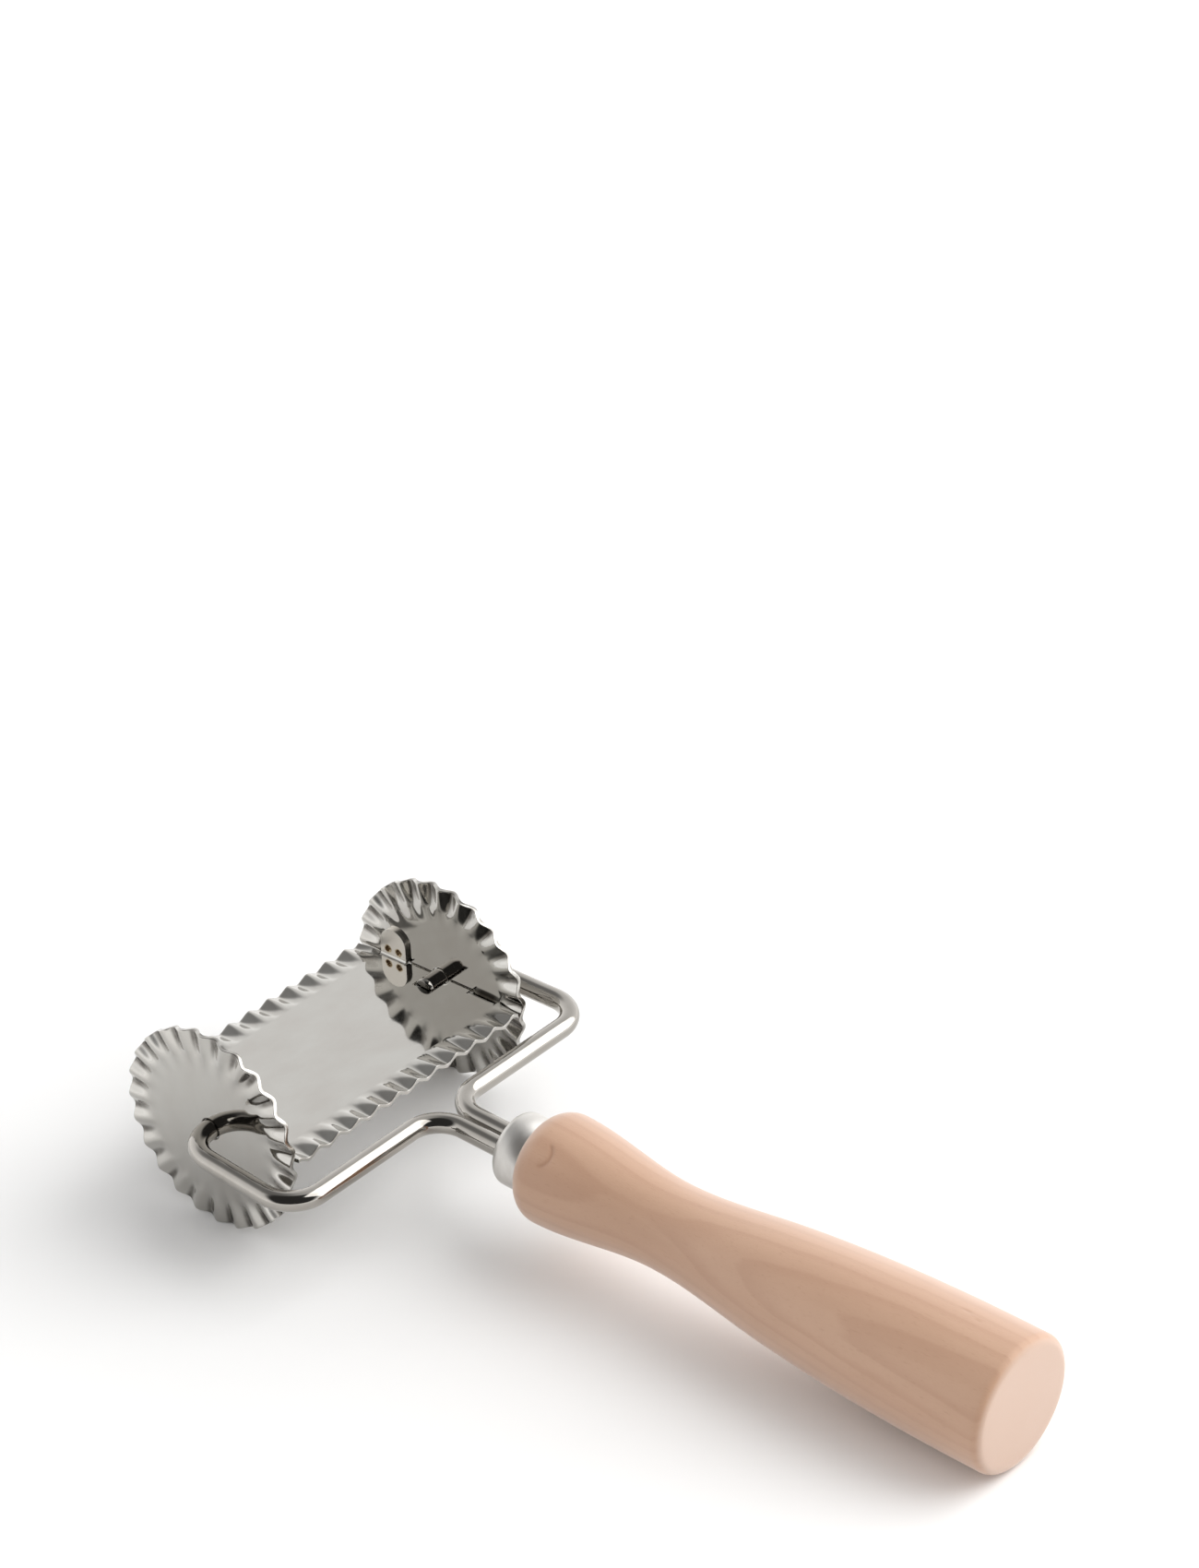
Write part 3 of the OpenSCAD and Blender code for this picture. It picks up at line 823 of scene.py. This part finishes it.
handle = {
    "bulbR": 13.55,
    "bulbRound": 6.2,
    "waistR": 10.4,
    "waistPlace": 38.5,  # from the handle's front, as the palm's place is
    "palmR": 13.7,
    "palmPlace": 70.5,
    "palmSlope": 0.11,
    "buttStraight": 5.5,
    "spigotR": 8.2,
    "spigotEdge": (2.0, 1.7),  # its front edge is cut back by this along and across
    "rows": {"bulb": 26, "waist": 70, "palm": 60, "butt": 120, "edge": 9, "face": 13},
    "around": 256,
    "inside": 0.003,  # keeps the butt within its solid
    "shine": {"IOR": 1.45, "Specular IOR Level": 0.5, "Coat Weight": 0.25,
              "Coat Roughness": 0.42, "Sheen Weight": 0.48, "Sheen Roughness": 0.5},
    "roughness": (0.46, 0.58),
    "pale": (0.548, 0.336, 0.221),
    "mid": (0.498, 0.294, 0.188),
    "midSize": (14, 90, 14),
    "dark": (0.395, 0.206, 0.121),
    "ringWidth": 3.6,  # mm between growth rings
    "ringShare": 0.26,  # how dark they are
    "late": (0.42, 0.88),  # share of a ring where it starts to darken and is darkest
    "early": (0.91, 1.0),  # and where it turns pale again
    "pith": (-0.024, 0.0, 0.026),  # a point of its line, in metres from the axle
    "pithTurn": (0.03, 0, 0.02),
    "warp": 0.0045,  # how far the rings wander, in metres
    "warpSize": (11, 60, 11),
    "ray": (0.325, 0.158, 0.086),
    "rayShare": (0.58, 0.76, 0, 0.22),  # part of its noise that shows, and how much
    "raySize": (0.32, 2.2, 0.32),
    "rayDepth": 0.02,
    "poreShare": (0.52, 0.80, 0, 0.18),
    "poreSize": (0.12, 1.4, 0.12),
    "poreDepth": 0.02,
    "dentShadeShare": 0.55,
    "dentFull": 0.3,  # depth of a mark whose painted shade is full
    "endGrain": (0.520, 0.348, 0.255),
    "endDepth": (0.9, 0.1),  # below the butt's face, where the end grain starts and is full
    "dotShare": (0.5, 0.75, 0, 0.3),
    "dotSize": (0.3, 0.3, 0.3),
    "dotDepth": 0.03,
}

# small marks of the photo's handle: a crescent from a blow and two nicks. The angle is round
# the axis from +X; station, sizes and depth are in mm, and from and to say where the ring shows.
marks = {
    "crescent": {"station": 72.7, "angle": 130.5, "r": 3.0, "width": 0.42, "depth": 0.30,
                 "from": -60, "to": 70, "fade": 15},
    "nickA": {"station": 184.5, "angle": 84, "length": 2.6, "width": 0.45, "depth": 0.16},
    "nickB": {"station": 188.3, "angle": 89, "length": 1.8, "width": 0.55, "depth": 0.12},
}


# smooth sweep between two stations given as [station, radius, slope]: a cubic with those ends
def swell(p, q, count):
    s = np.linspace(0, 1, count + 1)[1:]
    w = q[0] - p[0]
    radius = (p[1] * (1 + 2 * s) * (1 - s) ** 2 + q[1] * s * s * (3 - 2 * s)
              + w * (p[2] * s * (1 - s) ** 2 - q[2] * s * s * (1 - s)))
    return list(zip(p[0] + s * w, radius))


# the handle's outline as stations and radii: the tangs' slot inside, the spigot, the bulb,
# the sweeps to waist, palm and butt, the butt's round edge and its face
def handleRows():
    front, rows = pose["handleFront"], handle["rows"]
    coreR = handle["bulbR"] - handle["bulbRound"]
    start = math.degrees(math.asin((ferrule["r"] - coreR) / handle["bulbRound"]))
    top = front + handle["bulbRound"] * math.cos(math.radians(start))
    bulb = arc((coreR, top), handle["bulbRound"], start - 90, 0, rows["bulb"])[:, ::-1]
    bulbEnd = (top, handle["bulbR"], 0)
    waist = (front + handle["waistPlace"], handle["waistR"], 0)
    palm = (front + handle["palmPlace"], handle["palmR"], handle["palmSlope"])
    butt = (pose["buttFace"] - handle["buttStraight"], pose["buttR"], 0)
    buttFace = pose["buttFace"] - handle["inside"]
    core = (pose["buttR"] - pose["buttEdge"], buttFace - pose["buttEdge"])
    edge = arc(core, pose["buttEdge"], 0, 90, rows["edge"])[:, ::-1]
    face = [(buttFace, r) for r in np.linspace(core[0], 0, rows["face"] + 1)[1:]]
    spigotFront = pose["ferruleFront"] + ferrule["sheetT"] + ferrule["clearance"]
    spigotR = handle["spigotR"]
    cutAlong, cutAcross = handle["spigotEdge"]
    inner = [(pose["tangEnd"], 0), (pose["tangEnd"], "slot"), (spigotFront, "slot"),
             (spigotFront, spigotR - cutAcross), (spigotFront + cutAlong, spigotR),
             (front, spigotR)]
    return [*inner, *bulb, *swell(bulbEnd, waist, rows["waist"]),
            *swell(waist, palm, rows["palm"]), *swell(palm, butt, rows["butt"]), *edge, *face]


# How deep each point of the handle is pressed in. A crescent is part of a ring with a bell-shaped
# section, faded at both ends, and a nick is a bell longer than it is wide.
def markDepth(station, angle, radius):
    depth = np.zeros(np.broadcast(station, angle).shape)
    for mark in marks.values():
        alongAxis = station - mark["station"]
        around = (angle - math.radians(mark["angle"])) * radius
        if "r" in mark:
            ring = np.hypot(alongAxis, around)
            bearing = np.degrees(np.arctan2(around, alongAxis))
            start, end, fade = mark["from"], mark["to"], mark["fade"]
            ends = smoothStep(bearing, start - fade, start + fade)
            ends = ends * (1 - smoothStep(bearing, end - fade, end + fade))
            depth += mark["depth"] * np.exp(-((ring - mark["r"]) / mark["width"]) ** 2) * ends
        else:
            spread = (alongAxis / mark["length"] * 2) ** 2 + (around / mark["width"] * 2) ** 2
            depth += mark["depth"] * np.exp(-spread)
    return depth


# The outline turned round the axis and pressed in at the marks, on the skin only: past the
# first ring of the bulb, and not near the axis, where the angle means nothing.
def handlePiece(name, material):
    grid, angle = turnedGrid(handleRows(), handle["around"])
    radius = np.hypot(grid[..., 0], grid[..., 2])
    station = -grid[..., 1]
    innerRows, nearAxis = 6, 5
    onSkin = (np.arange(len(grid)) > innerRows)[:, None] & (radius > nearAxis)
    pressed = markDepth(station, angle[None, :], radius) * onSkin
    shrink = (radius - pressed) / np.maximum(radius, 1e-9)
    grid[..., 0] *= shrink
    grid[..., 2] *= shrink
    piece = ringSurface(name, inFork(grid))
    place = pointPlaces(piece)
    station = place[:, 2] * math.sin(-tilt) - place[:, 1] * math.cos(tilt)
    upward = place[:, 2] * math.cos(tilt) + place[:, 1] * math.sin(-tilt)
    # how deep each point is pressed, kept for the painted shade in the marks
    dentShade = markDepth(station, np.arctan2(upward, place[:, 0]), np.hypot(place[:, 0], upward))
    dentShade = np.clip(dentShade / handle["dentFull"], 0, 1) * (station > pose["handleFront"])
    storeLayer(piece, "dentShade", dentShade)
    piece.data.materials.append(material)
    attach(piece, "fork_and_handle")
    return piece


# Turned beech, almost bare. Growth rings are shells about a pith line beside the handle,
# bent by a slow noise; short rays and fine pores run along the handle. The butt's end grain
# is paler, and its pores are dots.
def turnedBeech(name):
    material, tree, shader = newMaterial(name, handle["shine"])
    own = inFrame(tree, objectPlace(tree), [v * mm for v in axle], (tilt, 0, 0))
    warp = grain(tree, own, handle["warpSize"], output="Color")
    warped = addNode(tree, "Mix", {0: handle["warp"], 4: own, 5: warp},
                     data_type="VECTOR")
    pith = inFrame(tree, warped.outputs[1], handle["pith"], handle["pithTurn"])
    xyz = addNode(tree, "SeparateXYZ", {0: pith}).outputs
    flatXZ = addNode(tree, "CombineXYZ", {0: xyz[0], 2: xyz[2]}).outputs[0]
    fromPith = vectorMaths(tree, "LENGTH", flatXZ)
    ring = maths(tree, "FRACT", maths(tree, "MULTIPLY", fromPith, 1 / (handle["ringWidth"] * mm)))
    late = remap(tree, ring, *handle["late"], 0, 1, True)
    early = remap(tree, ring, *handle["early"], 1, 0)
    band = maths(tree, "MULTIPLY", maths(tree, "MULTIPLY", late, early), handle["ringShare"])
    slow = grain(tree, own, handle["midSize"], detail=3, place=(0.2, 0, 0.1))
    drift = remap(tree, slow, *slowPart, 0, 1, True)
    colour = mixColour(tree, drift, handle["pale"], handle["mid"])
    colour = mixColour(tree, band, colour, handle["dark"])
    ray = grain(tree, own, handle["raySize"])
    colour = mixColour(tree, remap(tree, ray, *handle["rayShare"], True), colour, handle["ray"])
    pore = grain(tree, own, handle["poreSize"])
    colour = mixColour(tree, remap(tree, pore, *handle["poreShare"]), colour, handle["dark"])
    # the marks are darker with their depth: painted shade in their hollows
    dentShade = remap(tree, layerValue(tree, "dentShade"), 0, 1, 0, handle["dentShadeShare"])
    colour = mixColour(tree, dentShade, colour, handle["ray"])
    along = addNode(tree, "SeparateXYZ", {0: own}).outputs[1]
    inner, outer = [(depth - pose["buttFace"]) * mm for depth in handle["endDepth"]]
    atEnd = remap(tree, along, inner, outer, 0, 1, True)
    dots = grain(tree, own, handle["dotSize"])
    dotted = remap(tree, dots, *handle["dotShare"])
    endColour = mixColour(tree, dotted, handle["endGrain"], handle["mid"])
    colour = mixColour(tree, atEnd, colour, endColour)
    linkLook(tree, shader, colour, remap(tree, slow, *slowPart, *handle["roughness"]))
    under = addBump(tree, shader, pore, handle["poreDepth"])
    under = addBump(tree, shader, ray, handle["rayDepth"], under=under)
    addBump(tree, shader, dots, handle["dotDepth"], strength=0.5, under=under)
    return material


# the room, the floor and the lamps: sizes and places are in metres
studio = {
    "horizon": 1.50,  # brightness of the white sweep at the floor's edge
    "fall": 0.78,  # how much darker it is straight up
    "dark": 0.05,  # brightness that is left where all else is taken off
    "ceilingWay": (-0.08, 0.42, 0.90),
    "ceilingPart": (0.82, 0.985),  # nearness to that way where it starts to darken and is darkest
    "ceilingLeft": 0.30,  # share of its light that it keeps there
    "cameraWay": (-0.55, -0.55, 0.62),
    "cameraPart": (0.48, 0.72),  # the same above and behind the camera, where no light is kept
    "floor": (0.90, 0.895, 0.887),
    "floorSize": 6.0,
    "floorGlow": 0.50,  # the floor's own light, none near the roller and full far from it
    "glowCentre": (0, 0.03, 0),
    "glowPart": (0.07, 0.42),  # how far from there it starts and is full
    "aim": (0, 0, 0.02),
    "lamps": {
        "rightFrontBox": {"place": (0.48, -0.46, 0.56), "width": 1.0, "height": 1.15,
                          "brightness": 2.28, "mirrored": True},
        "leftFill": {"place": (-0.35, -0.30, 1.15), "width": 1.6, "height": 1.6,
                     "brightness": 0.70, "mirrored": False},
    },
}


# The room as light by direction: white all round and darker with height. A soft-edged patch of
# the ceiling, high on the far side, is dimmed, and another above and behind the camera is dark.
def buildRoom():
    world = bpy.data.worlds.new("whiteRoom")
    bpy.context.scene.world = world
    world.use_nodes = True
    tree = world.node_tree
    way = addNode(tree, "TexCoord").outputs["Generated"]
    height = addNode(tree, "SeparateXYZ", {0: way}).outputs[2]
    white = remap(tree, height, 0, 1, studio["horizon"], studio["horizon"] - studio["fall"])
    overhead = vectorMaths(tree, "DOT_PRODUCT", way, studio["ceilingWay"])
    ceiling = remap(tree, overhead, *studio["ceilingPart"], 1, studio["ceilingLeft"], True)
    behind = vectorMaths(tree, "DOT_PRODUCT", way, studio["cameraWay"])
    ahead = remap(tree, behind, *studio["cameraPart"], 1, 0, True)
    lit = maths(tree, "MULTIPLY", maths(tree, "MULTIPLY", ceiling, ahead), white)
    level = maths(tree, "ADD", lit, studio["dark"])
    colour = addNode(tree, "CombineXYZ", {0: level, 1: level, 2: level}).outputs[0]
    tree.links.new(colour, tree.nodes["Background"].inputs["Color"])


# A rectangular lamp that faces the cutter. Brightness is the same at any size, so the power
# grows with the lamp's area. A lamp that isn't mirrored lights the wood and the floor alone.
def softbox(name, place, width, height, brightness, mirrored):
    light = bpy.data.lights.new(name, "AREA")
    light.shape = "RECTANGLE"
    light.size, light.size_y = width, height
    light.energy = brightness * math.pi * width * height
    lamp = addObject(name, light)
    away = np.subtract(place, studio["aim"])
    away = away / np.linalg.norm(away)
    side = np.cross([0, 0, 1], away)
    side = side / np.linalg.norm(side)
    up = np.cross(away, side)
    lamp.visible_camera = False
    lamp.visible_glossy = mirrored
    axes = [[side[k], up[k], away[k], place[k]] for k in range(3)]
    lamp.matrix_world = Matrix(axes + [[0, 0, 0, 1]])


# a plain floor whose own light grows with the distance, so that it fades to white
def buildFloor():
    half = studio["floorSize"] / 2
    corners = [(-half, -half, 0), (half, -half, 0), (half, half, 0), (-half, half, 0)]
    mesh = bpy.data.meshes.new("paleFloor")
    mesh.from_pydata(corners, [], [(0, 1, 2, 3)])
    floor = addObject("paleFloor", mesh)
    material, tree, shader = newMaterial("paleFloorPaint", {
        "Base Color": (*studio["floor"], 1), "Roughness": 0.9, "Specular IOR Level": 0.0,
        "Emission Color": (1, 1, 0.995, 1)})
    away = vectorMaths(tree, "DISTANCE", objectPlace(tree), studio["glowCentre"])
    glow = remap(tree, away, *studio["glowPart"], 0, studio["floorGlow"], True)
    tree.links.new(glow, shader.inputs["Emission Strength"])
    mesh.materials.append(material)


camera = {
    "place": (-702.37, -620.09, 694.73),  # in mm
    "bearing": 48.550,  # degrees from +Y towards +X
    "pitch": 31.045,  # degrees down
    "roll": -2.335,
    "lens": 153.19,
    "sensor": 36.0,
}


# the camera looks along its bearing and pitch, then rolls about that line
def buildCamera():
    data = bpy.data.cameras.new("photoCamera")
    data.lens = camera["lens"]
    data.sensor_width = camera["sensor"]
    data.sensor_fit = "HORIZONTAL"
    data.clip_start = 0.05
    data.clip_end = 20
    body = addObject("photoCamera", data)
    body.matrix_world = (Matrix.Translation([v * mm for v in camera["place"]])
                         @ Matrix.Rotation(-math.radians(camera["bearing"]), 4, "Z")
                         @ Matrix.Rotation(math.radians(90 - camera["pitch"]), 4, "X")
                         @ Matrix.Rotation(math.radians(camera["roll"]), 4, "Z"))
    bpy.context.scene.camera = body


buildCamera()
buildRoom()
buildFloor()
for lampName, lamp in studio["lamps"].items():
    softbox(lampName, **lamp)
bpy.context.scene.view_settings.view_transform = "Standard"
print("room, floor, lamps and camera are set")

wheelSteel = polishedSheet("wheelSheetPolished")
leftWheel = wheelPiece("left_wheel_polished", -1, roller["leftPhase"], wheelSteel)
rightWheel = wheelPiece("right_wheel_polished", 1, roller["rightPhase"], wheelSteel)
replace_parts(leftWheel, "left_wheel")
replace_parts(rightWheel, "right_wheel")
crossBlade = bladePiece("cross_blade_polished", polishedSheet("bladeSheetPolished", heated=True))
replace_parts(crossBlade, "cross_blade")
print("roller is built")

wireSteel = drawnWire("drawnWireBright")
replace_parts(wirePiece("left_wire_bright", -1, wireSteel), "left_wire")
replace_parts(wirePiece("right_wire_bright", 1, wireSteel), "right_wire")
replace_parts(ferrulePiece("ferrule_satin", satinCup("ferruleSatin")), "ferrule")
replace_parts(handlePiece("handle_beech", turnedBeech("turnedBeech")), "handle")
print("fork, ferrule and handle are built")
